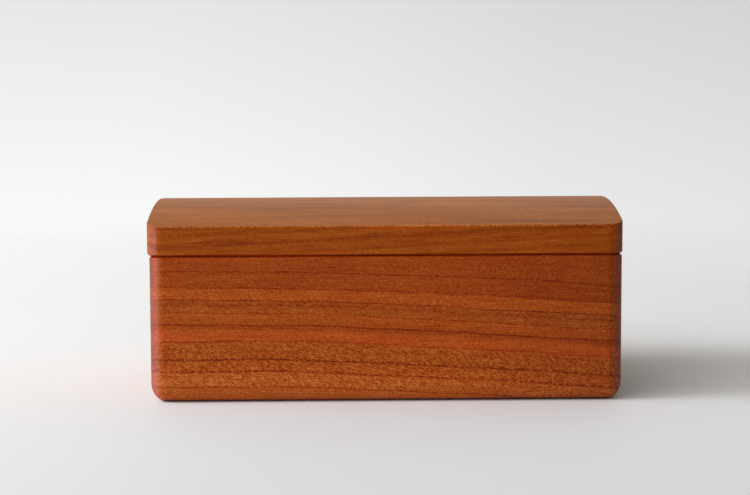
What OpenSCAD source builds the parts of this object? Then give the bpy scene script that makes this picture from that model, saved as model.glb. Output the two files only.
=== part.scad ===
// Small keepsake box in cherry: four mitred walls round a grooved-in floor,
// and a solid lid with a low arched top that opens on two brass stop hinges.
// Origin: on the table, under the middle of the closed box. +Z up, the front faces -Y.

/* [Body] */
// Outside length of the body, left to right
body_l = 180; // [150:1:260]
// Outside depth of the body, front to back
body_d = 108; // [95:1:180]
// Height of the body, from the table to its top rim
body_h = 56.0; // [40:0.1:90]
// Thickness of the four walls
wall_t = 9; // [9:0.5:12]
// Radius worked on the upright corners and round the bottom edge
round_r = 6; // [3:0.5:6]
// Chamfer on each side of the joint line between body and lid
joint_c = 0.7; // [0.4:0.1:1]

/* [Lid] */
// Thickness of the lid at its front and back edges
lid_edge = 11.3; // [10:0.1:16]
// Rise of the arched top above those edges
lid_rise = 6.5; // [4:0.1:9]
// How much longer the lid is than the body
lid_over = 1; // [0:0.1:1.6]
// How far the lid sits to the left of the body's middle
lid_left = 0.3; // [0:0.1:0.5]
// Gap between the lid and the body's rim
lid_gap = 0.2; // [0.1:0.05:0.4]
// Depth of the hollow routed in the underside
hollow_h = 8; // [4:0.5:8]
// Corner radius of that hollow
hollow_r = 6; // [3:0.5:10]

/* [Floor] */
// Thickness of the floor panel
floor_t = 4; // [3:0.5:5]
// Height of the floor panel's underside above the table
floor_z = 4; // [3:0.5:6]
// Depth of the groove that holds it
groove_d = 3; // [2:0.5:3]
// Thickness of the felt on the floor
felt_t = 1.6; // [1:0.1:3]

/* [Hinges] */
// Distance of each hinge's middle from the middle of the box
hinge_x = 56; // [40:1:60]
// Length of a hinge
hinge_l = 25; // [20:1:30]
// Leaf thickness
leaf_t = 1; // [0.8:0.1:1.2]
// Reach of a leaf from the pin's axis
leaf_w = 6; // [5.6:0.1:6.2]
// Outside radius of the knuckles
knuckle_r = 1.9; // [1.7:0.1:2]
// Radius of the hinge pin
pin_r = 0.75; // [0.6:0.05:0.8]
// Distance of the pin's axis from the back face
pin_in = 2.5; // [2.4:0.1:2.8]
// Opening angle at which the two back bevels meet
stop_angle = 95.5; // [90:0.5:100]

/* [Hidden] */
$fn = 96;

body_x = lid_left;                    // middle of the body; the lid's middle is at x = 0
lid_l = body_l + lid_over;
hl = body_l / 2;
hd = body_d / 2;
lid_z = body_h + lid_gap;             // underside of the lid
lid_top = lid_z + lid_edge + lid_rise;
arch_r = (hd * hd + lid_rise * lid_rise) / (2 * lid_rise);
pin_y = hd - pin_in;
pin_z = body_h + lid_gap / 2;
in_l = body_l - 2 * wall_t;           // inside of the body
in_d = body_d - 2 * wall_t;
knuckle_gap = 0.2;                    // end play between knuckles
mid_l = hinge_l / 3 + knuckle_gap;    // the lid's knuckle
plate_in = 1.2;                       // a leaf's plate ends inside the knuckle's wall
run = 0.05;                           // radial clearance of the lid's knuckle on the pin
screw_x = 8;                          // screws, either side of a hinge's middle
screw_y = 3.9;                        // screws, in front of the pin's axis
screw_r = 0.8;
head_r = 1.6;
screw_l = 7.5;
key_t = 2;                            // loose tongue in each mitre
key_w = 7;
key_z0 = 12;
key_z1 = body_h - 8;
eps = 1;

// ---- shared shapes ------------------------------------------------------

// Section of a wall's outer strip, from the outer face (x = 0) in to round_r
module body_strip_2d() {
    union() {
        intersection() {
            translate([round_r, round_r]) circle(r = round_r);
            square([round_r, round_r]);
        }
        translate([0, round_r])
            polygon([[0, 0], [round_r, 0], [round_r, body_h - round_r],
                     [joint_c, body_h - round_r], [0, body_h - round_r - joint_c]]);
    }
}

// The same for the lid, from its underside up past the arch
module lid_strip_2d() {
    polygon([[joint_c, 0], [round_r, 0], [round_r, lid_edge + lid_rise + eps],
             [0, lid_edge + lid_rise + eps], [0, joint_c]]);
}

// A rectangular block l by d whose rim has the child's section, all the way round
module rimmed_block(l, d, h) {
    for (sx = [-1, 1], sy = [-1, 1])
        translate([sx * (l / 2 - round_r), sy * (d / 2 - round_r), 0])
            rotate_extrude() translate([round_r, 0]) mirror([1, 0]) children();
    for (s = [0, 1]) mirror([0, s, 0])
        translate([l / 2 - round_r, -d / 2, 0]) rotate([90, 0, -90])
            mirror([1, 0, 0]) linear_extrude(l - 2 * round_r) children();
    for (s = [0, 1]) mirror([s, 0, 0])
        translate([-l / 2, d / 2 - round_r, 0]) rotate([90, 0, 0])
            linear_extrude(d - 2 * round_r) children();
    translate([-l / 2 + round_r, -d / 2 + round_r, 0])
        cube([l - 2 * round_r, d - 2 * round_r, h]);
}

// Everything behind the pin that both back edges lose: a bevel of half the
// stop angle below the rim, or above it for the lid
module back_bevel(up) {
    a = stop_angle / 2;
    far = pin_in + 2;
    translate([-body_l, pin_y, pin_z]) rotate([90, 0, 90])
        linear_extrude(2 * body_l)
            polygon([[0, 0], [far, up * far * tan(a)], [far, -up * 1], [0, -up * 1]]);
}

// Room for one hinge's barrel and for one of its leaves
module hinge_pocket(x, up) {
    translate([x - hinge_l / 2 - 1, pin_y, pin_z]) rotate([0, 90, 0])
        cylinder(r = knuckle_r + 0.2, h = hinge_l + 2);
    z = up > 0 ? lid_z - eps : body_h - leaf_t;
    translate([x - hinge_l / 2 - 0.05, pin_y - leaf_w - 0.05, z])
        cube([hinge_l + 0.1, leaf_w + 0.05, leaf_t + eps]);
    for (s = [-1, 1])
        translate([x + s * screw_x, pin_y - screw_y, up > 0 ? lid_z : body_h - screw_l - 0.4])
            cylinder(r = screw_r + 0.02, h = screw_l + 0.4);
}

// Slot in the mitre at a corner, s and t giving the corner's signs
module key_shape(s, t, w, th, z0, z1) {
    c = wall_t - 2.5;
    translate([body_x + s * (hl - c), t * (hd - c), z0])
        rotate([0, 0, s * t > 0 ? -45 : 45])
            translate([-w / 2, -th / 2, 0]) cube([w, th, z1 - z0]);
}

module key_slots() {
    for (s = [-1, 1], t = [-1, 1])
        key_shape(s, t, key_w + 0.1, key_t + 0.04, key_z0 - 0.1, key_z1 + 0.1);
}

// The four walls as one ring, before the mitres part it
module wall_ring() {
    difference() {
        translate([body_x, 0, 0]) rimmed_block(body_l, body_d, body_h) body_strip_2d();
        translate([body_x - in_l / 2, -in_d / 2, -eps]) cube([in_l, in_d, body_h + 2 * eps]);
        translate([body_x - in_l / 2 - groove_d, -in_d / 2 - groove_d, floor_z])
            cube([in_l + 2 * groove_d, in_d + 2 * groove_d, floor_t]);
        back_bevel(-1);
        key_slots();
    }
}

// The part of the ring that belongs to one wall: l long outside, facing -Y
module mitre_cut(l, d) {
    translate([0, 0, -eps]) linear_extrude(body_h + 2 * eps)
        polygon([[-l / 2, -d / 2], [l / 2, -d / 2],
                 [l / 2 - wall_t - 1, -d / 2 + wall_t + 1],
                 [-l / 2 + wall_t + 1, -d / 2 + wall_t + 1]]);
}

// ---- body ---------------------------------------------------------------

module front_wall() {
    color([0.59, 0.27, 0.11]) intersection() {
        wall_ring();
        translate([body_x, 0, 0]) mitre_cut(body_l, body_d);
    }
}

module back_wall() {
    color([0.58, 0.26, 0.10]) difference() {
        intersection() {
            wall_ring();
            translate([body_x, 0, 0]) rotate([0, 0, 180]) mitre_cut(body_l, body_d);
        }
        for (s = [-1, 1]) hinge_pocket(s * hinge_x, -1);
    }
}

module left_wall() {
    color([0.61, 0.28, 0.12]) intersection() {
        wall_ring();
        translate([body_x, 0, 0]) rotate([0, 0, -90]) mitre_cut(body_d, body_l);
    }
}

module right_wall() {
    color([0.57, 0.25, 0.10]) intersection() {
        wall_ring();
        translate([body_x, 0, 0]) rotate([0, 0, 90]) mitre_cut(body_d, body_l);
    }
}

// Loose tongues that lock the mitres, hidden inside the corners
module mitre_keys() {
    color([0.70, 0.45, 0.25])
        for (s = [-1, 1], t = [-1, 1]) key_shape(s, t, key_w, key_t, key_z0, key_z1);
}

module floor_panel() {
    l = in_l + 2 * groove_d - 1;
    d = in_d + 2 * groove_d - 1;
    color([0.62, 0.33, 0.16])
        translate([body_x - l / 2, -d / 2, floor_z]) cube([l, d, floor_t]);
}

// Felt cut to the floor, with a hair of room all round
module floor_felt() {
    r = 1.2;
    color([0.23, 0.21, 0.20]) translate([body_x, 0, floor_z + floor_t])
        linear_extrude(felt_t) union() {
            square([in_l - 0.6, in_d - 0.6 - 2 * r], center = true);
            square([in_l - 0.6 - 2 * r, in_d - 0.6], center = true);
            for (s = [-1, 1], t = [-1, 1])
                translate([s * (in_l / 2 - 0.3 - r), t * (in_d / 2 - 0.3 - r)]) circle(r = r);
        }
}

// ---- lid ----------------------------------------------------------------

// Solid arched slab, hollowed below
module lid_panel() {
    color([0.58, 0.28, 0.09]) difference() {
        intersection() {
            translate([0, 0, lid_z])
                rimmed_block(lid_l, body_d, lid_edge + lid_rise + eps) lid_strip_2d();
            translate([-lid_l, 0, lid_top - arch_r]) rotate([0, 90, 0])
                cylinder(r = arch_r, h = 2 * lid_l, $fn = 720);
        }
        translate([body_x, 0, lid_z - eps]) linear_extrude(hollow_h + eps) union() {
            square([in_l, in_d - 2 * hollow_r], center = true);
            square([in_l - 2 * hollow_r, in_d], center = true);
            for (s = [-1, 1], t = [-1, 1])
                translate([s * (in_l / 2 - hollow_r), t * (in_d / 2 - hollow_r)])
                    circle(r = hollow_r);
        }
        back_bevel(1);
        for (s = [-1, 1]) hinge_pocket(s * hinge_x, 1);
    }
}

// ---- hinges -------------------------------------------------------------

module along_x(x0, x1, r) {
    translate([x0, 0, 0]) rotate([0, 90, 0]) cylinder(r = r, h = x1 - x0);
}

// Countersunk holes for a leaf's screws; its face is at z = 0, wood below
module leaf_holes() {
    for (s = [-1, 1]) translate([s * screw_x, -screw_y, 0]) {
        translate([0, 0, -leaf_t - 1]) cylinder(r = screw_r + 0.05, h = leaf_t + 2);
        translate([0, 0, -0.8]) cylinder(r1 = screw_r + 0.02, r2 = head_r + 0.02, h = 0.8);
        cylinder(r = head_r + 0.02, h = 1);
    }
}

// Leaf fixed to the body, with the two outer knuckles. Pin axis at the origin
module body_leaf() {
    color([0.80, 0.64, 0.33]) difference() {
        union() {
            difference() {
                translate([-hinge_l / 2, -leaf_w, -lid_gap / 2 - leaf_t])
                    cube([hinge_l, leaf_w - plate_in, leaf_t]);
                along_x(-mid_l / 2 - knuckle_gap, mid_l / 2 + knuckle_gap, knuckle_r + 0.15);
            }
            for (s = [0, 1]) mirror([s, 0, 0])
                along_x(mid_l / 2 + knuckle_gap, hinge_l / 2, knuckle_r);
        }
        along_x(-hinge_l, hinge_l, pin_r + 0.01);
        translate([0, 0, -lid_gap / 2]) leaf_holes();
    }
}

// Leaf fixed to the lid, with the middle knuckle
module lid_leaf() {
    color([0.80, 0.64, 0.33]) difference() {
        union() {
            difference() {
                translate([-hinge_l / 2, -leaf_w, lid_gap / 2])
                    cube([hinge_l, leaf_w - plate_in, leaf_t]);
                for (s = [0, 1]) mirror([s, 0, 0])
                    along_x(mid_l / 2, hinge_l, knuckle_r + 0.15);
            }
            along_x(-mid_l / 2, mid_l / 2, knuckle_r);
        }
        along_x(-hinge_l, hinge_l, pin_r + run);
        translate([0, 0, lid_gap / 2]) mirror([0, 0, 1]) leaf_holes();
    }
}

// Pin with a flat button at each end
module hinge_pin() {
    color([0.76, 0.60, 0.30]) {
        along_x(-hinge_l / 2 - 0.5, hinge_l / 2 + 0.5, pin_r);
        for (s = [0, 1]) mirror([s, 0, 0])
            translate([hinge_l / 2, 0, 0]) rotate([0, 90, 0])
                cylinder(r1 = 1.2, r2 = 1, h = 0.5);
    }
}

module place_hinge(s) {
    translate([s * hinge_x, pin_y, pin_z]) children();
}

module left_hinge_body_leaf() { place_hinge(-1) body_leaf(); }
module right_hinge_body_leaf() { place_hinge(1) body_leaf(); }
module left_hinge_lid_leaf() { place_hinge(-1) lid_leaf(); }
module right_hinge_lid_leaf() { place_hinge(1) lid_leaf(); }
module left_hinge_pin() { place_hinge(-1) hinge_pin(); }
module right_hinge_pin() { place_hinge(1) hinge_pin(); }

// Slotted countersunk screw, head up, top of the head at z = 0
module screw() {
    difference() {
        union() {
            translate([0, 0, -0.82]) cylinder(r1 = screw_r, r2 = head_r, h = 0.8);
            translate([0, 0, -screw_l + 1]) cylinder(r = screw_r, h = screw_l - 1.82);
            translate([0, 0, -screw_l]) cylinder(r1 = 0.15, r2 = screw_r, h = 1);
        }
        translate([-head_r, -0.18, -0.4]) cube([2 * head_r, 0.36, 1]);
    }
}

module body_leaf_screws() {
    color([0.80, 0.64, 0.33])
        for (s = [-1, 1], k = [-1, 1])
            translate([s * hinge_x + k * screw_x, pin_y - screw_y, body_h]) screw();
}

module lid_leaf_screws() {
    color([0.80, 0.64, 0.33])
        for (s = [-1, 1], k = [-1, 1])
            translate([s * hinge_x + k * screw_x, pin_y - screw_y, lid_z])
                mirror([0, 0, 1]) screw();
}

front_wall();
back_wall();
left_wall();
right_wall();
mitre_keys();
floor_panel();
floor_felt();
left_hinge_body_leaf();
right_hinge_body_leaf();
left_hinge_pin();
right_hinge_pin();
body_leaf_screws();
lid_panel();
left_hinge_lid_leaf();
right_hinge_lid_leaf();
lid_leaf_screws();
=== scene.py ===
import bpy, bmesh, math, random
from mathutils import Vector, Matrix


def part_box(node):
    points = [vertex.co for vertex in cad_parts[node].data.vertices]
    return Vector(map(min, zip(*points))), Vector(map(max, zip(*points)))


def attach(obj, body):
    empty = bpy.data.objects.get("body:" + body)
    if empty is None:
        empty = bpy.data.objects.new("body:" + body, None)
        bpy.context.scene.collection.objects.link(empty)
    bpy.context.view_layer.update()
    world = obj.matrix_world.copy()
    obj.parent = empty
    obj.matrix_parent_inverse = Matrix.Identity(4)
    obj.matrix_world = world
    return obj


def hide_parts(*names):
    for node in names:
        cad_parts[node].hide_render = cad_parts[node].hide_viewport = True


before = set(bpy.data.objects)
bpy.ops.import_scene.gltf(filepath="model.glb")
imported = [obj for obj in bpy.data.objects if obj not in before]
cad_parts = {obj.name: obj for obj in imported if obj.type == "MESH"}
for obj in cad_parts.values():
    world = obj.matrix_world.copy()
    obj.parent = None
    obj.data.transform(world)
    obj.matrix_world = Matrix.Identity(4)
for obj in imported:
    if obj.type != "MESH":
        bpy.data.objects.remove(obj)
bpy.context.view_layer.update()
MM = 0.001
scene = bpy.context.scene
scene.view_settings.view_transform = "Standard"
scene.view_settings.look = "None"

# ---- sizes, in millimetres, as in the CAD ---------------------------------
BODY_X = 0.3
BL, BD, BH = 180.0, 108.0, 56.0
WT, RR, JC = 9.0, 6.0, 0.7
LID_Z, LID_EDGE, LID_RISE, LID_L = 56.2, 11.3, 6.5, 181.0
HOLLOW_H, HOLLOW_R = 8.0, 6.0
IN_L, IN_D = BL - 2 * WT, BD - 2 * WT
ARCH_R = ((BD / 2) ** 2 + LID_RISE ** 2) / (2 * LID_RISE)
LID_TOP = LID_Z + LID_EDGE + LID_RISE
PIN_Y, PIN_Z = BD / 2 - 2.5, BH + 0.1
STOP = math.radians(95.5 / 2)
HINGE_X, HINGE_L, LEAF_T, LEAF_W, KN_R = 56.0, 25.0, 1.0, 6.0, 1.9


def arch_z(y):
    return LID_TOP - ARCH_R + math.sqrt(ARCH_R ** 2 - y * y)


# ---- mesh helpers -----------------------------------------------------------
def new_object(name, bm, smooth=32, weighted=True):
    me = bpy.data.meshes.new(name)
    bm.to_mesh(me)
    bm.free()
    ob = bpy.data.objects.new(name, me)
    scene.collection.objects.link(ob)
    finish_mesh(ob, smooth, weighted)
    return ob


def apply_modifiers(ob):
    bpy.context.view_layer.update()
    dg = bpy.context.evaluated_depsgraph_get()
    me = bpy.data.meshes.new_from_object(ob.evaluated_get(dg))
    old = ob.data
    ob.modifiers.clear()
    ob.data = me
    me.name = ob.name
    if old.users == 0:
        bpy.data.meshes.remove(old)


def finish_mesh(ob, smooth=32, weighted=True):
    me = ob.data
    me.polygons.foreach_set("use_smooth", [True] * len(me.polygons))
    me.set_sharp_from_angle(angle=math.radians(smooth))
    if weighted:
        m = ob.modifiers.new("wn", "WEIGHTED_NORMAL")
        m.mode = "FACE_AREA"
        m.weight = 80
        m.keep_sharp = True
        apply_modifiers(ob)


def boolean_cut(ob, cutters):
    for c in cutters:
        m = ob.modifiers.new("cut", "BOOLEAN")
        m.operation = "DIFFERENCE"
        m.solver = "EXACT"
        m.object = c
        apply_modifiers(ob)


def prism(name, pts, x0, x1):
    """Closed prism along X from a (y, z) outline in millimetres."""
    bm = bmesh.new()
    a = [bm.verts.new((x0 * MM, y * MM, z * MM)) for y, z in pts]
    b = [bm.verts.new((x1 * MM, y * MM, z * MM)) for y, z in pts]
    n = len(pts)
    for i in range(n):
        j = (i + 1) % n
        bm.faces.new((a[i], a[j], b[j], b[i]))
    bm.faces.new(list(reversed(a)))
    bm.faces.new(b)
    bmesh.ops.recalc_face_normals(bm, faces=bm.faces)
    me = bpy.data.meshes.new(name)
    bm.to_mesh(me)
    bm.free()
    ob = bpy.data.objects.new(name, me)
    scene.collection.objects.link(ob)
    return ob


def round_poly(pts, radii, n=4):
    """Corner i of a closed outline gets an arc of radius radii[i]."""
    out = []
    count = len(pts)
    for i, p in enumerate(pts):
        r = radii[i]
        if r <= 0:
            out.append(p)
            continue
        a, b, c = Vector(pts[i - 1]), Vector(p), Vector(pts[(i + 1) % count])
        u, v = (a - b).normalized(), (c - b).normalized()
        half = math.acos(max(-1, min(1, u.dot(v)))) / 2
        d = r / math.tan(half)
        centre = b + (u + v).normalized() * (r / math.sin(half))
        s, e = b + u * d - centre, b + v * d - centre
        ang = s.angle(e)
        sign = 1 if s.x * e.y - s.y * e.x > 0 else -1
        for k in range(n + 1):
            t = sign * ang * k / n
            out.append((centre.x + s.x * math.cos(t) - s.y * math.sin(t),
                        centre.y + s.x * math.sin(t) + s.y * math.cos(t)))
    return out


# ---- the walls --------------------------------------------------------------
def wall_profile():
    """(s, z): s is the depth in from the outer face. The bottom roundover is a little taller than it is deep."""
    rise = RR * 1.2
    arc = [(RR + RR * math.cos(math.radians(a)), rise + rise * math.sin(math.radians(a)))
           for a in [270 - 90 * k / 18 for k in range(19)]]
    top = round_poly([(0, RR), (0, BH - JC), (JC, BH), (WT, BH), (WT, 8.0), (WT - 3, 8.0), (WT - 3, 4.0),
                      (WT, 4.0), (WT, 0), (RR, 0)],
                     [0, 0.3, 0.25, 0.45, 0, 0, 0, 0, 0.35, 0], 4)
    return arc + top[1:-1]


def make_wall(name, length, place):
    """A mitred wall, outer face at local y = 0, from local x = 0 to length; place maps local mm to the row's mm."""
    prof = wall_profile()
    n_arc, n_mid = 10, 10
    cols = []
    for k in range(n_arc + 1):
        cols.append(("l", 1 - k / n_arc))
    for k in range(1, n_mid):
        cols.append(("m", k / n_mid))
    for k in range(n_arc + 1):
        cols.append(("r", k / n_arc))

    def point(col, s, z):
        kind, f = col
        if kind == "m":
            x0 = RR if s < RR else WT + 1
            x = x0 + (length - 2 * x0) * f
            return (x, s, z)
        phi = math.radians(45) * f
        if s < RR:
            x, y = RR - (RR - s) * math.sin(phi), RR - (RR - s) * math.cos(phi)
        else:
            x, y = s + (WT + 1 - s) * (1 - f), s
            if s < RR + 1e-6:
                x, y = RR + (WT + 1 - s) * (1 - f) * 0, RR
        if kind == "r":
            x = length - x
        return (x, y, z)

    bm = bmesh.new()
    grid = []
    for col in cols:
        grid.append([bm.verts.new(Vector(place(*point(col, s, z))) * MM) for s, z in prof])
    n = len(prof)
    for a, b in zip(grid, grid[1:]):
        for i in range(n):
            j = (i + 1) % n
            bm.faces.new((a[i], a[j], b[j], b[i]))
    bm.faces.new(list(reversed(grid[0])))
    bm.faces.new(grid[-1])
    bmesh.ops.remove_doubles(bm, verts=bm.verts, dist=1e-7)
    bmesh.ops.dissolve_degenerate(bm, edges=bm.edges, dist=1e-7)
    bmesh.ops.recalc_face_normals(bm, faces=bm.faces)
    me = bpy.data.meshes.new(name)
    bm.to_mesh(me)
    bm.free()
    ob = bpy.data.objects.new(name, me)
    scene.collection.objects.link(ob)
    return ob


x_lo, x_hi = BODY_X - BL / 2, BODY_X + BL / 2
y_lo, y_hi = -BD / 2, BD / 2
front = make_wall("front_board", BL, lambda x, y, z: (x_lo + x, y_lo + y, z))
back = make_wall("back_board", BL, lambda x, y, z: (x_hi - x, y_hi - y, z))
left = make_wall("left_board", BD, lambda x, y, z: (x_lo + y, y_hi - x, z))
right = make_wall("right_board", BD, lambda x, y, z: (x_hi - y, y_lo + x, z))

# the bevel behind the hinge pins, and the hinge pockets
far = 6.0
bevel_lo = prism("cut_lo", [(PIN_Y, PIN_Z), (PIN_Y + far, PIN_Z - far * math.tan(STOP)), (PIN_Y + far, PIN_Z + 3), (PIN_Y, PIN_Z + 3)], -120, 120)
bevel_hi = prism("cut_hi", [(PIN_Y, PIN_Z), (PIN_Y + far, PIN_Z + far * math.tan(STOP)), (PIN_Y + far, PIN_Z - 3), (PIN_Y, PIN_Z - 3)], -120, 120)
pockets_lo, pockets_hi = [], []
for sx in (-1, 1):
    c = sx * HINGE_X
    circle = [(PIN_Y + (KN_R + 0.2) * math.cos(2 * math.pi * k / 64), PIN_Z + (KN_R + 0.2) * math.sin(2 * math.pi * k / 64)) for k in range(64)]
    for lst, z0, z1 in ((pockets_lo, BH - LEAF_T, BH + 1), (pockets_hi, LID_Z - 1, LID_Z + LEAF_T)):
        lst.append(prism("cut_barrel", circle, c - HINGE_L / 2 - 1, c + HINGE_L / 2 + 1))
        lst.append(prism("cut_leaf", [(PIN_Y - LEAF_W - 0.05, z0), (PIN_Y, z0), (PIN_Y, z1), (PIN_Y - LEAF_W - 0.05, z1)],
                         c - HINGE_L / 2 - 0.05, c + HINGE_L / 2 + 0.05))
boolean_cut(back, [bevel_lo] + pockets_lo)
boolean_cut(left, [bevel_lo])
boolean_cut(right, [bevel_lo])
for ob in (front, back, left, right):
    finish_mesh(ob)


# ---- the lid ----------------------------------------------------------------
def outline(cx, l, d, r, inset, n=12, side=26):
    """Rounded rectangle, counter-clockwise seen from above, from the front-left corner on; every call gives the same count."""
    pts = []
    hl, hd = l / 2 - r, d / 2 - r
    rr = r - inset
    corners = [(-hl, -hd, 180), (hl, -hd, 270), (hl, hd, 0), (-hl, hd, 90)]
    for i, (x, y, a0) in enumerate(corners):
        for k in range(n + 1):
            a = math.radians(a0 + 90 * k / n)
            pts.append((cx + x + rr * math.cos(a), y + rr * math.sin(a)))
        if i == 1:
            for k in range(1, side):
                pts.append((cx + l / 2 - inset, -hd + 2 * hd * k / side))
        if i == 3:
            for k in range(1, side):
                pts.append((cx - l / 2 + inset, hd - 2 * hd * k / side))
    return pts


def make_lid():
    bm = bmesh.new()
    rings = []

    def add(pts, zs):
        rings.append([bm.verts.new((x * MM, y * MM, z * MM)) for (x, y), z in zip(pts, zs)])

    count = len(outline(0, LID_L, BD, RR, 0))
    hollow = lambda e: outline(BODY_X, IN_L + 2 * e, IN_D + 2 * e, HOLLOW_R + e, 0)
    add(hollow(-0.6), [LID_Z + HOLLOW_H] * count)
    for k in range(1, 5):                       # small cove left by the cutter
        a = math.pi / 2 * k / 4
        add(hollow(-0.6 + 0.6 * math.sin(a)), [LID_Z + HOLLOW_H - 0.6 + 0.6 * math.cos(a)] * count)
    ra = 0.45
    for k in range(0, 5):                       # softened mouth
        a = math.pi / 2 * k / 4
        add(hollow(ra - ra * math.cos(a)), [LID_Z + ra - ra * math.sin(a)] * count)
    strip = round_poly([(2.0, 0), (JC, 0), (0, JC), (0, 3.0)], [0, 0.25, 0.3, 0], 4)
    for s, z in strip[1:-1]:                    # chamfer on the joint line
        add(outline(0, LID_L, BD, RR, s), [LID_Z + z] * count)
    ra = 0.42
    base = outline(0, LID_L, BD, RR, 0)
    for k in range(0, 6):                       # softened top arris
        a = math.pi / 2 * k / 5
        pts = outline(0, LID_L, BD, RR, ra - ra * math.cos(a))
        add(pts, [arch_z(y) - (ra - ra * math.sin(a)) for x, y in pts])
    for a, b in zip(rings, rings[1:]):
        for i in range(count):
            j = (i + 1) % count
            bm.faces.new((a[i], a[j], b[j], b[i]))
    bm.faces.new(list(reversed(rings[0])))
    # the arched top: one strip across for each step of the side
    top = rings[-1]
    left_side = sorted([v for v in top if v.co.x < 0], key=lambda v: v.co.y)
    right_side = sorted([v for v in top if v.co.x > 0], key=lambda v: v.co.y)
    cols = 12
    prev = None
    for lv, rv in zip(left_side, right_side):
        row = [lv] + [None] * (cols - 1) + [rv]
        first_or_last = lv in (left_side[0], left_side[-1])
        if not first_or_last:
            for k in range(1, cols):
                f = k / cols
                x = lv.co.x * (1 - f) + rv.co.x * f
                row[k] = bm.verts.new((x, lv.co.y, arch_z(lv.co.y / MM) * MM))
        if prev is not None:
            if prev[1] is None or row[1] is None:
                if prev[1] is None:
                    bm.faces.new([prev[0], prev[-1]] + list(reversed(row)))
                else:
                    bm.faces.new(prev + [row[-1], row[0]])
            else:
                for k in range(cols):
                    bm.faces.new((prev[k], prev[k + 1], row[k + 1], row[k]))
        prev = row
    bmesh.ops.recalc_face_normals(bm, faces=bm.faces)
    me = bpy.data.meshes.new("lid_board")
    bm.to_mesh(me)
    bm.free()
    ob = bpy.data.objects.new("lid_board", me)
    scene.collection.objects.link(ob)
    return ob


lid = make_lid()
boolean_cut(lid, [bevel_hi] + pockets_hi)
finish_mesh(lid)
for c in [bevel_lo, bevel_hi] + pockets_lo + pockets_hi:
    me = c.data
    bpy.data.objects.remove(c)
    bpy.data.meshes.remove(me)


# ---- the felt ---------------------------------------------------------------
def make_felt():
    lo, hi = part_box("floor_felt")
    t = (hi[2] - lo[2]) / MM
    cx, cy = (lo[0] + hi[0]) / 2 / MM, (lo[1] + hi[1]) / 2 / MM
    l, d = (hi[0] - lo[0]) / MM, (hi[1] - lo[1]) / MM
    nx, ny = 90, 50
    rnd = random.Random(7)
    waves = [(rnd.uniform(0.02, 0.09), rnd.uniform(0.02, 0.09), rnd.uniform(0, 6.3), rnd.uniform(0.01, 0.03)) for _ in range(9)]
    bm = bmesh.new()
    r = 1.2

    def plan(u, v):
        x, y = (u - 0.5) * l, (v - 0.5) * d
        ax, ay = abs(x) - (l / 2 - r), abs(y) - (d / 2 - r)
        if ax > 0 and ay > 0:
            k = max(ax, ay) / math.hypot(ax, ay)
            x = math.copysign(l / 2 - r + ax * k, x)
            y = math.copysign(d / 2 - r + ay * k, y)
        return x, y

    def spaced(n):
        """More points near both edges, for the rolled rim."""
        e = [0, 0.15, 0.4, 0.8, 1.4]
        return e, n

    def stops(length, n):
        edge = [0, 0.12, 0.35, 0.75, 1.4, 2.4]
        mid = [2.4 + (length - 4.8) * k / n for k in range(1, n)]
        s = edge + mid + [length - q for q in reversed(edge)]
        return [q / length for q in s]

    us, vs = stops(l, nx), stops(d, ny)
    tops, bots = {}, {}
    for i, u in enumerate(us):
        for j, v in enumerate(vs):
            x, y = plan(u, v)
            e = min(u * l, (1 - u) * l, v * d, (1 - v) * d)
            roll = 0 if e > 0.9 else 0.55 * (1 - math.sqrt(max(0, 1 - (1 - e / 0.9) ** 2)))
            h = sum(a * math.sin(p * x + q * y + f) for p, q, f, a in waves)
            z = lo[2] / MM + t - 0.12 - roll + min(h, 0.11)
            tops[i, j] = bm.verts.new(((cx + x) * MM, (cy + y) * MM, z * MM))
            if i in (0, len(us) - 1) or j in (0, len(vs) - 1):
                bots[i, j] = bm.verts.new(((cx + x) * MM, (cy + y) * MM, lo[2]))
    ni, nj = len(us), len(vs)
    for i in range(ni - 1):
        for j in range(nj - 1):
            bm.faces.new((tops[i, j], tops[i + 1, j], tops[i + 1, j + 1], tops[i, j + 1]))
    rim = [(i, 0) for i in range(ni)] + [(ni - 1, j) for j in range(1, nj)] + \
          [(i, nj - 1) for i in range(ni - 2, -1, -1)] + [(0, j) for j in range(nj - 2, 0, -1)]
    for a, b in zip(rim, rim[1:] + rim[:1]):
        bm.faces.new((tops[b], tops[a], bots[a], bots[b]))
    bm.faces.new([bots[k] for k in reversed(rim)])
    bmesh.ops.recalc_face_normals(bm, faces=bm.faces)
    return new_object("felt_lining", bm, smooth=50, weighted=False), l * MM, d * MM


felt, felt_l, felt_d = make_felt()


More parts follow.
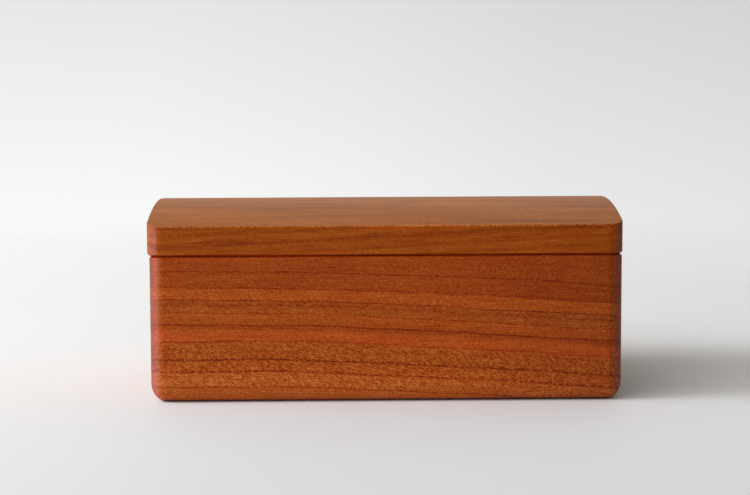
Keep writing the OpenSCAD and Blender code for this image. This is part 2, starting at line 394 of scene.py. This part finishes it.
# ---- node helpers -----------------------------------------------------------
class Tree:
    def __init__(self, name):
        self.mat = bpy.data.materials.new(name)
        self.mat.use_nodes = True
        self.t = self.mat.node_tree
        self.t.nodes.clear()
        self.out = self.t.nodes.new("ShaderNodeOutputMaterial")
        self.bsdf = self.t.nodes.new("ShaderNodeBsdfPrincipled")
        self.t.links.new(self.bsdf.outputs[0], self.out.inputs[0])

    def link(self, value, socket):
        if isinstance(value, bpy.types.NodeSocket):
            self.t.links.new(value, socket)
        elif value is not None:
            socket.default_value = value

    def math(self, op, a, b=None, c=None, clamp=False):
        n = self.t.nodes.new("ShaderNodeMath")
        n.operation = op
        n.use_clamp = clamp
        for i, v in enumerate((a, b, c)):
            if v is not None:
                self.link(v, n.inputs[i])
        return n.outputs[0]

    def add(self, a, b):
        return self.math("ADD", a, b)

    def mul(self, a, b):
        return self.math("MULTIPLY", a, b)

    def madd(self, a, b, c):
        return self.math("MULTIPLY_ADD", a, b, c)

    def xyz(self, x=0.0, y=0.0, z=0.0):
        n = self.t.nodes.new("ShaderNodeCombineXYZ")
        for i, v in enumerate((x, y, z)):
            self.link(v, n.inputs[i])
        return n.outputs[0]

    def split(self, v):
        n = self.t.nodes.new("ShaderNodeSeparateXYZ")
        self.link(v, n.inputs[0])
        return n.outputs

    def coords(self, loc=(0, 0, 0), rot=(0, 0, 0), scale=1000.0):
        c = self.t.nodes.new("ShaderNodeTexCoord")
        m = self.t.nodes.new("ShaderNodeMapping")
        m.vector_type = "POINT"
        self.t.links.new(c.outputs["Object"], m.inputs["Vector"])
        m.inputs["Location"].default_value = loc
        m.inputs["Rotation"].default_value = rot
        m.inputs["Scale"].default_value = (scale, scale, scale)
        return m.outputs[0]

    def noise(self, vec, scale=1.0, detail=2.0, rough=0.5, dist=0.0, colour=False):
        n = self.t.nodes.new("ShaderNodeTexNoise")
        n.noise_dimensions = "3D"
        self.link(vec, n.inputs["Vector"])
        n.inputs["Scale"].default_value = scale
        n.inputs["Detail"].default_value = detail
        n.inputs["Roughness"].default_value = rough
        n.inputs["Distortion"].default_value = dist
        return n.outputs["Color" if colour else "Fac"]

    def remap(self, v, a, b, c=0.0, d=1.0, smooth=False):
        n = self.t.nodes.new("ShaderNodeMapRange")
        n.interpolation_type = "SMOOTHSTEP" if smooth else "LINEAR"
        n.clamp = True
        self.link(v, n.inputs["Value"])
        for k, w in (("From Min", a), ("From Max", b), ("To Min", c), ("To Max", d)):
            self.link(w, n.inputs[k])
        return n.outputs["Result"]

    def ramp(self, v, stops, mode="LINEAR"):
        n = self.t.nodes.new("ShaderNodeValToRGB")
        self.link(v, n.inputs[0])
        cr = n.color_ramp
        cr.interpolation = mode
        cr.elements[0].position, cr.elements[1].position = stops[0][0], stops[-1][0]
        cr.elements[0].color = (*stops[0][1], 1)
        cr.elements[1].color = (*stops[-1][1], 1)
        for p, col in stops[1:-1]:
            e = cr.elements.new(p)
            e.color = (*col, 1)
        return n.outputs[0]

    def mix(self, f, a, b, mode="MIX"):
        n = self.t.nodes.new("ShaderNodeMix")
        n.data_type = "RGBA"
        n.blend_type = mode
        n.clamp_factor = True
        self.link(f, n.inputs[0])
        for v, s in ((a, n.inputs[6]), (b, n.inputs[7])):
            if isinstance(v, (tuple, list)):
                v = (*v[:3], 1)
            self.link(v, s)
        return n.outputs[2]

    def hsv(self, col, value=None, sat=None, hue=None):
        n = self.t.nodes.new("ShaderNodeHueSaturation")
        self.link(col, n.inputs["Color"])
        for k, v in (("Hue", hue), ("Saturation", sat), ("Value", value)):
            if v is not None:
                self.link(v, n.inputs[k])
        return n.outputs[0]

    def bump(self, height, strength, distance, normal=None):
        n = self.t.nodes.new("ShaderNodeBump")
        n.inputs["Strength"].default_value = strength
        n.inputs["Distance"].default_value = distance
        self.link(height, n.inputs["Height"])
        if normal is not None:
            self.link(normal, n.inputs["Normal"])
        return n.outputs[0]


def lin(r, g, b):
    """sRGB 0-255 to linear."""
    f = lambda c: (c / 255 / 12.92) if c <= 10.3 else ((c / 255 + 0.055) / 1.055) ** 2.4
    return (f(r), f(g), f(b))


# ---- wood ---------------------------------------------------------------------
g = lambda v: (v, v, v)


def stops(rows, span):
    return [(max(0.0, min(1.0, p / span)), c) for p, c in rows]


def ticks(rows, span):
    """Thin growth lines along the growth coordinate: place, strength, width."""
    out = [(0.0, g(0))]
    for p, s, wd in rows:
        out += [(p - wd, g(0)), (p, g(s)), (p + wd * 1.5, g(0))]
    return stops(out, span)


def wood(name, bands, lines, ripple_band, span, loc=(0, 0, 0), rot=(0, 0, 0), drop=(0.0, 0.0, 0.0), tilt_y=0.22, rings=None,
         gain=1.0, ripple=1.0, seed=0.0, rough=0.32, fine=1.0, patch=1.0, warp=1.0, spec=0.13, arris=False, blotch=0.0, top_z=None, top_rough=0.0, relief=1.0, pore=1.0,
         top_tone_and_sheen=(1.0, 1.0, 1.0), back_sheen_gain=(1.0, 1.0, 1.0)):
    """Oiled cherry. Board coordinates in mm: x along the grain, y through the board, z across it.
    The growth coordinate t crosses the growth layers; bands and lines are placed along it. Every tone shift adds up in
    one signal, and dark is redder while light is yellower."""
    w = Tree(name)
    P = w.coords(loc, rot)
    x, y, z = w.split(P)
    u = w.add(x, 92.0)
    fall = w.add(w.mul(w.mul(u, u), drop[0]), w.madd(u, drop[1], drop[2]))
    if rings:
        dy, dz = w.add(y, -rings[0]), w.add(z, -rings[1])
        base = w.add(w.math("SQRT", w.add(w.mul(dy, dy), w.mul(dz, dz))), -rings[2])
    else:
        base = w.add(w.madd(y, tilt_y, z), 54.0 * tilt_y)
    c = lambda n: w.add(n, -0.5)
    geo = w.t.nodes.new("ShaderNodeTexCoord")
    nx, ny, nz = w.split(geo.outputs["Normal"])
    low = c(w.noise(w.xyz(w.madd(x, 0.011, seed), w.mul(y, 0.02), w.mul(z, 0.035)), 1.0, 1.0, 0.5))
    mid = c(w.noise(w.xyz(w.madd(x, 0.045, seed + 9.1), w.mul(y, 0.08), w.mul(z, 0.12)), 1.0, 2.0, 0.55))
    # ripple figure: short flecks that lean down to the right
    ca, sa = math.cos(math.radians(30)), math.sin(math.radians(30))
    along, across = w.add(w.mul(x, ca), w.mul(z, -sa)), w.add(w.mul(x, sa), w.mul(z, ca))
    fleck = c(w.noise(w.xyz(w.mul(along, 0.85), w.madd(y, 0.6, seed * 3), w.mul(across, 2.9)), 1.0, 0.0, 0.5, 0.1))
    # the short pores and rays that cover every board
    pores = c(w.noise(w.xyz(w.mul(w.madd(z, -0.35, x), 1.15), w.mul(y, 1.3), w.mul(w.madd(x, 0.16, z), 3.4)), 1.0, 0.0, 0.5))
    t = w.add(w.add(base, fall), w.add(w.mul(low, 2.2 * warp), w.mul(mid, 1.5 * warp)))
    t0 = w.math("DIVIDE", t, span)
    zone = w.ramp(t0, ripple_band)                    # where the ripple is strong
    tj = w.math("DIVIDE", w.add(t, w.mul(w.mul(fleck, zone), 0.8 * ripple)), span)
    colour = w.ramp(tj, bands)
    # broad tone shifts, fibres of two sizes, thin growth streaks
    tone = c(w.noise(w.xyz(w.madd(x, 0.020, seed + 3.3), w.mul(y, 0.03), w.mul(t, 0.06)), 1.0, 2.0, 0.5))
    shade = c(w.noise(w.xyz(w.madd(x, 0.075, seed + 1.3), w.mul(y, 0.1), w.mul(t, 0.16)), 1.0, 2.0, 0.55))
    streak = c(w.noise(w.xyz(w.madd(x, 0.018, seed + 5.0), w.mul(y, 0.3), w.mul(t, 1.1)), 1.0, 1.0, 0.6))
    fibre = c(w.noise(w.xyz(w.madd(x, 0.09, seed), w.mul(y, 1.8), w.mul(z, 2.2)), 1.0, 0.0, 0.5))
    hair = c(w.noise(w.xyz(w.mul(x, 0.45), w.mul(y, 3.0), w.mul(z, 3.0)), 1.0, 0.0, 0.5))
    sig = w.add(w.mul(tone, 0.30 * patch), w.mul(shade, 0.25 * patch))
    sig = w.add(sig, w.mul(streak, 0.38 * fine))
    small = w.add(w.add(w.mul(fibre, 0.80 * fine * (1.6 - 0.6 * pore)), w.mul(hair, 0.5 * fine)), w.mul(pores, 1.85 * fine * pore))
    small = w.add(small, w.mul(w.mul(fleck, w.madd(zone, 2.45, 0.25)), ripple))
    # light flecks stand out, dark ones stay shallow
    sig = w.add(sig, w.add(w.mul(w.math("MAXIMUM", small, 0.0), 1.15), w.mul(w.math("MAXIMUM", w.math("MINIMUM", small, 0.0), -0.7), 0.85)))
    # growth lines, broken here and there
    gaps = c(w.noise(w.xyz(w.madd(x, 0.10, seed), w.mul(y, 0.1), w.mul(t, 0.5)), 1.0, 2.0, 0.6))
    line = w.mul(w.ramp(tj, lines), w.remap(gaps, -0.16, 0.06, 0.70, 1.0))
    if top_rough:
        on_top = w.mul(w.remap(z, LID_Z + LID_EDGE - 0.1, LID_Z + LID_EDGE + 0.3, 0.0, 1.0, True), w.remap(nz, 0.30, 0.60, 0.0, 1.0, True))
        line = w.mul(line, w.madd(on_top, -0.75, 1.0))
        sig = w.add(sig, w.mul(w.remap(z, LID_Z + 0.45, LID_Z + 0.75, 0.0, 1.0, True), w.remap(z, LID_Z + 0.9, LID_Z + 1.3, 0.22, 0.0, True)))
    sig = w.add(sig, w.mul(line, -1.15))
    if blotch:
        # dark smoky streaks that climb to the right
        bx, bz = w.madd(x, 1.0, seed), w.madd(x, -0.085, z)
        sm = c(w.noise(w.xyz(w.mul(bx, 0.034), w.mul(y, 0.12), w.mul(bz, 0.34)), 1.0, 2.5, 0.6, 0.4))
        dots = c(w.noise(w.xyz(w.mul(bx, 0.35), w.mul(y, 1.0), w.mul(bz, 1.3)), 1.0, 2.0, 0.7))
        m = w.remap(sm, 0.02, 0.20, 0.0, 1.0, True)
        sig = w.add(sig, w.mul(w.mul(m, w.remap(z, LID_Z + LID_EDGE - 0.4, LID_Z + LID_EDGE + 0.2, 1.0, 0.25)), w.remap(dots, -0.15, 0.12, -0.5 * blotch, -0.16 * blotch)))
    gum = c(w.noise(w.xyz(w.madd(x, 0.16, seed + 7.7), w.mul(y, 0.9), w.mul(z, 1.5)), 1.0, 1.0, 0.5))
    sig = w.add(sig, w.mul(w.remap(gum, 0.23, 0.30, 0.0, 1.0, True), -0.35))
    if top_z is not None:
        # painted highlight: a paler strip along the body's top edge below the joint chamfer, where the edge catches the
        # light
        edge = w.mul(w.remap(z, top_z - 1.1, top_z - 0.5, 0.0, 1.0, True), w.remap(z, top_z - 0.40, top_z - 0.20, 1.0, 0.0, True))
        sig = w.add(sig, w.mul(edge, w.madd(fibre, 0.8, 0.45)))
        # painted contact shadow: the wood is darkened near the bottom where the board meets the table, most on the
        # downward-facing rim
        sig = w.add(sig, w.mul(w.mul(w.remap(z, 0.50, 1.20, 1.0, 0.0, True), w.remap(nz, -0.998, -0.985, 0.2, 1.0)), -2.6))
    if arris:
        # painted glints: light and dark dashes along the lid's top front arris, where the light glints on the rounded
        # edge
        ay, az = w.add(w.math("ABSOLUTE", y), -54.0), w.add(z, -(LID_Z + LID_EDGE - 0.05))
        d = w.math("SQRT", w.add(w.mul(ay, ay), w.mul(az, az)))
        dash = c(w.noise(w.xyz(w.mul(x, 1.9), w.mul(y, 0.01), 3.0), 1.0, 0.3, 0.6))
        m = w.remap(d, 0.25, 0.60, 1.0, 0.0, True)
        sig = w.add(sig, w.mul(m, w.remap(dash, -0.12, 0.04, -0.18, 0.95)))
    dark, dusk = ((0.48, 0.38, 0.10), (0.79, 0.68, 0.35)) if blotch else ((0.44, 0.25, 0.06), (0.79, 0.58, 0.28))
    tint = w.ramp(w.madd(sig, 0.5, 0.5), [(0.0, dark), (0.25, dusk), (0.5, (1, 1, 1)),
                                           (0.75, (1.22, 1.58, 3.4)), (1.0, (1.45, 2.3, 7.0))])
    colour = w.mix(1.0, colour, tint, "MULTIPLY")
    colour = w.mix(1.0, colour, (gain, gain, gain), "MULTIPLY")
    # painted sheen: the rounded upright corners are lightened, most on the left-facing side towards the light
    turn = w.mul(w.math("ABSOLUTE", w.mul(nx, ny)), 2.0)
    start = 0.40 if arris else 0.45
    corner_sheen = w.mul(w.mul(w.remap(turn, start, start + 0.45, 0.0, 1.0, True), w.madd(w.add(mid, fibre), 0.35, 0.95)), w.remap(nx, -0.3, 0.3, 1.0, 0.35))
    if not arris:
        # painted shade: the left-facing faces are darkened to hold down the light that falls on that side; the boards
        # also darken towards the right (below)
        colour = w.mix(w.remap(nx, -0.95, -0.55, 1.0, 0.0, True), colour, w.mix(1.0, colour, (0.68, 0.65, 0.71), "MULTIPLY"))
        # a darker cloud over the lower part of the front's left corner
        cloud = w.mul(w.mul(w.remap(x, -88.0, -79.0, 1.0, 0.0, True), w.remap(x, -112.0, -98.0, 0.0, 1.0, True)), w.remap(z, 35.0, 42.0, 1.0, 0.0, True))
        colour = w.mix(cloud, colour, w.mix(1.0, colour, (0.93, 0.83, 0.80), "MULTIPLY"))
    # darker towards the right end: partly the boards' own tone, partly painted shade on the side away from the light
    colour = w.mix(w.remap(x, 28.0, 92.0, 0.0, 1.0), colour, w.mix(1.0, colour, (0.92, 0.90, 0.88) if arris else (0.76, 0.70, 0.64), "MULTIPLY"))
    # painted sheen added on the rounded corners
    colour = w.mix(corner_sheen, colour, w.mix(1.0, colour, (0.036, 0.037, 0.044), "ADD"))
    # painted shade: the chamfers of the joint line are darkened and reddened, standing in for the shadowed gap between
    # lid and body
    if top_z is not None:
        joint = w.mul(w.remap(z, top_z - 0.80, top_z - 0.55, 0.0, 1.0, True), w.remap(nz, 0.80, 0.95, 1.0, 0.0, True))
    else:
        joint = w.mul(w.remap(z, LID_Z + 0.45, LID_Z + 0.70, 1.0, 0.0, True), w.remap(nz, -0.95, -0.80, 0.0, 1.0, True))
    colour = w.mix(joint, colour, w.mix(1.0, colour, (0.85, 0.50, 0.40), "MULTIPLY"))
    w.t.links.new(colour, w.bsdf.inputs["Base Color"])
    r = w.remap(w.add(w.mul(fibre, 0.6), fleck), -0.3, 0.3, rough - 0.05, rough + 0.05)
    if top_rough:
        # the arched top was left off the finer sanding: flatter sheen; its paler, yellower colour is partly the board's
        # own tone and partly painted sheen, and it grows paler towards the back as painted sheen
        r = w.madd(on_top, top_rough, r)
        colour = w.mix(on_top, colour, w.mix(1.0, colour, top_tone_and_sheen, "MULTIPLY"))
        st1 = c(w.noise(w.xyz(w.madd(x, 0.012, 4.0), w.mul(y, 0.20), 1.0), 1.0, 1.0, 0.6))
        st2 = c(w.noise(w.xyz(w.madd(x, 0.017, 7.0), w.mul(y, 0.70), 5.0), 1.0, 1.0, 0.7))
        band = w.math("ADD", w.add(w.mul(st1, 1.3), w.mul(st2, 1.5)), 0.5, clamp=True)
        colour = w.mix(on_top, colour, w.mix(1.0, colour, w.ramp(band, [(0.12, (0.76, 0.75, 0.55)), (0.40, (0.95, 0.98, 0.85)), (0.6, (1.03, 1.03, 0.98)), (0.88, (1.26, 1.32, 1.15))]), "MULTIPLY"))
        # painted sheen: the top grows paler towards the back, where the grazing reflection is stronger
        colour = w.mix(w.mul(on_top, w.remap(y, -25.0, 48.0, 0.0, 1.0, True)), colour, w.mix(1.0, colour, back_sheen_gain, "MULTIPLY"))
        w.t.links.new(colour, w.bsdf.inputs["Base Color"])
    w.t.links.new(r, w.bsdf.inputs["Roughness"])
    w.bsdf.inputs["IOR"].default_value = 1.46
    w.bsdf.inputs["Specular IOR Level"].default_value = spec
    h = w.add(w.add(w.mul(fibre, 0.8), w.mul(hair, 0.6)), w.add(w.mul(fleck, 1.0), w.mul(line, -0.3)))
    w.t.links.new(w.bump(h, 0.5 * relief, 0.00012), w.bsdf.inputs["Normal"])
    return w.mat


# the tones of the boards
BROWN, ORANGE, SMOKE = lin(146, 60, 6), lin(161, 71, 12), lin(151, 68, 11)
RUSSET, OLIVE, AMBER = lin(167, 70, 13), lin(153, 68, 9), lin(167, 79, 18)
SPAN = 66.0
front_bands = stops([
    (0.0, AMBER), (9.8, AMBER), (11.2, ORANGE), (15.0, OLIVE), (21.4, OLIVE), (23.2, RUSSET), (26.0, RUSSET), (27.6, BROWN),
    (32.6, ORANGE), (33.6, SMOKE), (37.4, SMOKE), (38.6, ORANGE), (42.4, ORANGE), (44.0, BROWN), (66.0, BROWN)], SPAN)
front_lines = ticks([(4.9, 0.8, 0.32), (10.9, 0.85, 0.42), (15.5, 1.0, 0.45), (22.6, 0.55, 0.35), (28.6, 0.9, 0.35),
                     (33.0, 0.5, 0.3), (36.2, 0.35, 0.8), (38.0, 0.9, 0.35), (42.9, 0.6, 0.6), (49.5, 0.6, 0.35)], SPAN)
front_ripple = stops([(0, g(0.1)), (4.2, g(0.15)), (6, g(0.8)), (15, g(1.0)), (21.5, g(0.9)), (23, g(0.12)), (26.5, g(0.08)), (30, g(0.25)),
                      (37, g(0.4)), (39, g(0.15)), (66, g(0.22))], SPAN)
body_kw = dict(bands=front_bands, lines=front_lines, ripple_band=front_ripple, span=SPAN, drop=(0.000235, -0.0029, -1.35), top_z=BH)
mat_front = wood("cherry_front", **body_kw)
# the side boards carry the front board's grain on round the mitres
mat_left = wood("cherry_left", loc=(x_lo + y_lo, y_lo - x_lo, 0), rot=(0, 0, math.radians(90)), **body_kw)
mat_right = wood("cherry_right", loc=(x_hi - y_lo, y_lo + x_hi, 0), rot=(0, 0, math.radians(-90)), **body_kw)
mat_back = wood("cherry_back", rot=(0, 0, math.radians(180)), seed=4.0, **body_kw)

TAN, TAN2, UMBER = lin(146, 66, 6), lin(152, 70, 8), lin(136, 60, 5)
LSPAN = 50.0
lid_bands = stops([(0.0, TAN), (5, TAN2), (9, UMBER), (13, TAN), (17, TAN2), (22, UMBER), (27, TAN2), (33, TAN), (36, TAN2), (39.5, TAN), (42, TAN2), (50, TAN)], LSPAN)
lid_lines = ticks([(27.5, 0.35, 0.6), (31.2, 0.25, 0.8), (33.6, 0.32, 0.9), (36.7, 0.38, 1.0), (40.0, 0.50, 1.0), (43.5, 0.35, 1.0), (46.4, 0.2, 0.7)], LSPAN)
lid_kw = dict(bands=lid_bands, lines=lid_lines, ripple_band=[(0, g(0.06)), (1, g(0.06))], span=LSPAN, drop=(0.0, -0.04, 14.0),
              rings=(16.0, -60.0, 112.0), ripple=0.6, seed=2.0, warp=0.8, fine=0.95, arris=True, blotch=1.0, top_rough=0.28, relief=0.35,
              pore=0.75, top_tone_and_sheen=(0.99, 1.24, 0.80), back_sheen_gain=(1.04, 1.10, 1.00))
mat_lid = wood("cherry_lid", **lid_kw)
# the arched top is the same board with more bloom on it
mat_lid_top = wood("cherry_lid_top", spec=0.34, **lid_kw)
floor_mat = wood("cherry_floor", bands=front_bands, lines=front_lines, ripple_band=front_ripple, span=SPAN,
                 rot=(math.radians(90), 0, 0), drop=(0, 0.01, 34), ripple=0.5, seed=6.0, rough=0.5)


def simple_wood(name):
    w = Tree(name)
    P = w.coords()
    x, y, z = w.split(P)
    n = w.noise(w.xyz(w.mul(x, 0.8), w.mul(y, 0.8), w.mul(z, 0.05)), 1.0, 3.0, 0.5)
    w.t.links.new(w.ramp(n, [(0.3, lin(170, 130, 90)), (0.7, lin(200, 160, 118))]), w.bsdf.inputs["Base Color"])
    w.t.links.new(w.remap(n, 0.3, 0.7, 0.55, 0.65), w.bsdf.inputs["Roughness"])
    w.t.links.new(w.bump(n, 0.2, 0.0001), w.bsdf.inputs["Normal"])
    return w.mat


key_mat = simple_wood("key_beech")


def brass(name, base=(0.66, 0.45, 0.17), rough=0.32):
    """Drawn brass gone a little brown, with fine lines along the strip."""
    w = Tree(name)
    P = w.coords()
    x, y, z = w.split(P)
    fine = w.noise(w.xyz(w.mul(x, 0.25), w.mul(y, 3.5), w.mul(z, 3.5)), 1.0, 2.0, 0.5)
    blot = w.noise(P, 0.28, 3.0, 0.6, 0.5)
    col = w.mix(w.remap(blot, 0.42, 0.70, 0.0, 0.75), base, (base[0] * 0.66, base[1] * 0.54, base[2] * 0.42))
    w.t.links.new(col, w.bsdf.inputs["Base Color"])
    w.bsdf.inputs["Metallic"].default_value = 1.0
    w.t.links.new(w.remap(w.add(w.mul(fine, 0.4), w.mul(blot, 0.6)), 0.3, 0.7, rough - 0.06, rough + 0.14), w.bsdf.inputs["Roughness"])
    w.t.links.new(w.bump(fine, 0.12, 0.00002), w.bsdf.inputs["Normal"])
    return w.mat


brass_leaf = brass("brass_leaf")
brass_pin = brass("brass_pin", (0.62, 0.42, 0.16), 0.28)
brass_screw = brass("brass_screw", (0.70, 0.48, 0.19), 0.25)


def felt_material():
    """Matted wool: strands in two directions over a soft mottle."""
    w = Tree("wool_felt")
    P = w.coords()
    x, y, z = w.split(P)
    mottle = w.noise(P, 0.22, 3.0, 0.6, 0.4)
    tuft = w.noise(P, 1.1, 3.0, 0.65, 1.2)
    one = w.noise(w.xyz(w.mul(w.madd(y, 0.5, x), 0.7), w.mul(w.madd(x, -0.5, y), 4.0), z), 1.0, 2.0, 0.6, 1.4)
    two = w.noise(w.xyz(w.mul(w.madd(y, -0.8, x), 4.2), w.mul(w.madd(x, 0.8, y), 0.8), w.add(z, 9.0)), 1.0, 2.0, 0.6, 1.4)
    strand = w.math("MAXIMUM", one, two)
    k = w.add(w.add(w.mul(mottle, 0.30), w.mul(tuft, 0.30)), w.mul(strand, 0.55))
    col = w.ramp(k, [(0.40, lin(52, 30, 16)), (0.56, lin(84, 52, 30)), (0.66, lin(108, 72, 46)), (0.80, lin(150, 112, 80))])
    w.t.links.new(col, w.bsdf.inputs["Base Color"])
    w.t.links.new(w.remap(k, 0.4, 0.7, 0.86, 0.97), w.bsdf.inputs["Roughness"])
    w.bsdf.inputs["Specular IOR Level"].default_value = 0.15
    w.bsdf.inputs["Sheen Weight"].default_value = 0.06
    w.bsdf.inputs["Sheen Roughness"].default_value = 0.5
    w.bsdf.inputs["Sheen Tint"].default_value = (0.8, 0.66, 0.48, 1)
    w.t.links.new(w.bump(k, 0.9, 0.0006), w.bsdf.inputs["Normal"])
    return w.mat


felt_mat = felt_material()


def dress(ob, mat):
    ob.data.materials.clear()
    ob.data.materials.append(mat)


for ob, mat, node, body, slot in (
        (front, mat_front, "front_wall", "body", "body_wood"), (back, mat_back, "back_wall", "body", "body_wood"),
        (left, mat_left, "left_wall", "body", "body_wood"), (right, mat_right, "right_wall", "body", "body_wood"),
        (lid, mat_lid, "lid_panel", "lid", "lid_wood"), (felt, felt_mat, "floor_felt", "body", "felt")):
    dress(ob, mat)
    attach(ob, body)
    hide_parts(node)
lid.data.materials.append(mat_lid_top)
for f in lid.data.polygons:
    if f.normal.z > 0.5 and f.center.z > (LID_Z + LID_EDGE - 0.4) * MM:
        f.material_index = 1

for node, mat in (("floor_panel", floor_mat), ("mitre_keys", key_mat),
                  ("left_hinge_body_leaf", brass_leaf), ("right_hinge_body_leaf", brass_leaf),
                  ("left_hinge_lid_leaf", brass_leaf), ("right_hinge_lid_leaf", brass_leaf),
                  ("left_hinge_pin", brass_pin), ("right_hinge_pin", brass_pin),
                  ("body_leaf_screws", brass_screw), ("lid_leaf_screws", brass_screw)):
    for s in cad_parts[node].material_slots:
        s.material = mat

# ---- stage ----------------------------------------------------------------------
def make_stage():
    """A round pale floor, with rings of faces that grow outwards."""
    bm = bmesh.new()
    radii = [0.05, 0.10, 0.16, 0.23, 0.32, 0.43, 0.56, 0.72, 0.90]
    n = 72
    mid = bm.verts.new((0, 0, 0))
    rows = [[bm.verts.new((r * math.cos(2 * math.pi * k / n), r * math.sin(2 * math.pi * k / n), 0)) for k in range(n)] for r in radii]
    for k in range(n):
        bm.faces.new((mid, rows[0][k], rows[0][(k + 1) % n]))
    for a, b in zip(rows, rows[1:]):
        for k in range(n):
            bm.faces.new((a[k], b[k], b[(k + 1) % n], a[(k + 1) % n]))
    bmesh.ops.recalc_face_normals(bm, faces=bm.faces)
    return new_object("stage_floor", bm, smooth=60, weighted=False)


stage = make_stage()
st = Tree("stage_paint")
SP = st.coords(scale=1.0)
sx, sy, sz = st.split(SP)
sn = st.noise(SP, 5.0, 4.0, 0.6)
# painted light: the floor paint runs from darker near the front to paler at the back, standing in for the fall-off of
# the light
tone = st.madd(st.add(sn, -0.5), 0.05, st.remap(sy, -0.30, 0.45, 0.72, 0.93))
cc = st.t.nodes.new("ShaderNodeCombineColor")
for k, m in enumerate((0.995, 1.0, 1.02)):
    st.link(st.mul(tone, m), cc.inputs[k])
st.t.links.new(cc.outputs[0], st.bsdf.inputs["Base Color"])
st.bsdf.inputs["Roughness"].default_value = 0.7
st.bsdf.inputs["Specular IOR Level"].default_value = 0.2
far_off = st.math("SQRT", st.add(st.mul(sx, sx), st.mul(sy, sy)))
fade = st.remap(far_off, 0.34, 0.86, 0.0, 1.0, True)
clear = st.t.nodes.new("ShaderNodeBsdfTransparent")
mixer = st.t.nodes.new("ShaderNodeMixShader")
st.link(fade, mixer.inputs[0])
st.t.links.new(st.bsdf.outputs[0], mixer.inputs[1])
st.t.links.new(clear.outputs[0], mixer.inputs[2])
st.t.links.new(mixer.outputs[0], st.out.inputs[0])
dress(stage, st.mat)


def area(name, pos, target, size, power, colour=(1, 1, 1)):
    l = bpy.data.lights.new(name, "AREA")
    l.shape = "RECTANGLE"
    l.size, l.size_y = size
    l.energy = power
    l.color = colour
    o = bpy.data.objects.new(name, l)
    scene.collection.objects.link(o)
    o.location = pos
    o.rotation_euler = (Vector(target) - Vector(pos)).to_track_quat("-Z", "Y").to_euler()
    return o


def around(az, el, r, up=0.0):
    """A place at azimuth az from the front towards the left, and elevation el."""
    a, e = math.radians(az), math.radians(el)
    return (-r * math.sin(a) * math.cos(e), -r * math.cos(a) * math.cos(e), 0.03 + r * math.sin(e) + up)


area("window", around(75, 35, 1.3), (0, 0, 0.03), (0.62, 0.62), 9.6)
area("window_low", around(80, 10, 1.3, 0.1), (0, 0, 0.03), (0.62, 0.62), 2.4)
area("window_back", around(100, 35, 1.3), (0, 0, 0.03), (0.62, 0.62), 2.0)


def make_world():
    """A pale wall all round, brightest low down and towards the window. As a light the room is a broad soft glow from
    the front left and from behind."""
    world = bpy.data.worlds.new("studio")
    scene.world = world
    world.use_nodes = True
    w = Tree.__new__(Tree)
    w.t = world.node_tree
    w.t.nodes.clear()
    tc = w.t.nodes.new("ShaderNodeTexCoord")
    dx, dy, dz = w.split(tc.outputs["Generated"])
    seen = w.ramp(w.remap(dz, -0.40, 0.10, 0.0, 1.0), [(0.0, g(0.90)), (0.50, g(0.94)), (0.60, g(0.965)), (0.656, g(0.935)), (0.686, g(0.915)),
                                                       (0.738, g(0.877)), (0.80, g(0.835)), (0.848, g(0.80)), (1.0, g(0.72))])
    seen = w.mix(1.0, seen, w.ramp(w.remap(dx, -0.20, 0.22, 0.0, 1.0), [(0.0, g(1.015)), (0.24, g(1.005)), (0.48, g(0.95)), (0.72, g(0.87)), (1.0, g(0.825))]), "MULTIPLY")

    def glow(n, strength):
        d = w.add(w.add(w.mul(dx, n[0]), w.mul(dy, n[1])), w.mul(dz, n[2]))
        return w.mul(w.math("POWER", w.math("MAXIMUM", d, 0.0), 4.0), strength)

    room = w.add(w.add(glow((-0.683, -0.683, 0.259), 2.75), glow((0, 0.966, 0.259), 1.44)),
                 w.add(glow((-0.707, 0, 0.707), 0.22), glow((0.707, 0, 0.707), 0.18)))
    room = w.mul(room, w.remap(dz, -0.05, 0.05, 0.0, 1.0, True))
    path = w.t.nodes.new("ShaderNodeLightPath")
    cam_ray = path.outputs["Is Camera Ray"]
    b = w.t.nodes.new("ShaderNodeBackground")
    # the light that comes back off the far side of the room is a little warm
    warm = w.ramp(w.remap(dy, 0.2, 0.8, 0.0, 1.0), [(0.0, (1, 1, 1)), (1.0, (1.0, 0.94, 0.80))])
    w.link(w.mix(cam_ray, warm, seen), b.inputs[0])
    w.link(w.add(w.mul(cam_ray, w.add(1.0, w.mul(room, -1.0))), room), b.inputs[1])
    o = w.t.nodes.new("ShaderNodeOutputWorld")
    w.t.links.new(b.outputs[0], o.inputs[0])


make_world()

# ---- camera, from the fitted view ---------------------------------------------
W = 0.18
F_PX, CX, CD, CH, YAW, PITCH, ROLL = 1973.07, -0.08074, 4.1218, 0.726265, 0.013865, 0.096064, 0.004529
pos = Vector((BODY_X * MM + CX * W, -BD / 2 * MM - CD * W, CH * W))
fwd = Vector((math.sin(YAW) * math.cos(PITCH), math.cos(YAW) * math.cos(PITCH), -math.sin(PITCH)))
rgt = Vector((math.cos(YAW), -math.sin(YAW), 0))
up = Vector((math.sin(YAW) * math.sin(PITCH), math.cos(YAW) * math.sin(PITCH), math.cos(PITCH)))
e1 = rgt * math.cos(ROLL) - up * math.sin(ROLL)
e2 = rgt * math.sin(ROLL) + up * math.cos(ROLL)
cam_data = bpy.data.cameras.new("camera")
cam = bpy.data.objects.new("camera", cam_data)
scene.collection.objects.link(cam)
cam.matrix_world = Matrix(((e1.x, e2.x, -fwd.x, pos.x), (e1.y, e2.y, -fwd.y, pos.y), (e1.z, e2.z, -fwd.z, pos.z), (0, 0, 0, 1)))
cam_data.sensor_fit = "HORIZONTAL"
cam_data.sensor_width = 36.0
cam_data.lens = 36.0 * F_PX / 750
cam_data.clip_start = 0.01
cam_data.clip_end = 20
cam_data.dof.use_dof = False
scene.camera = cam
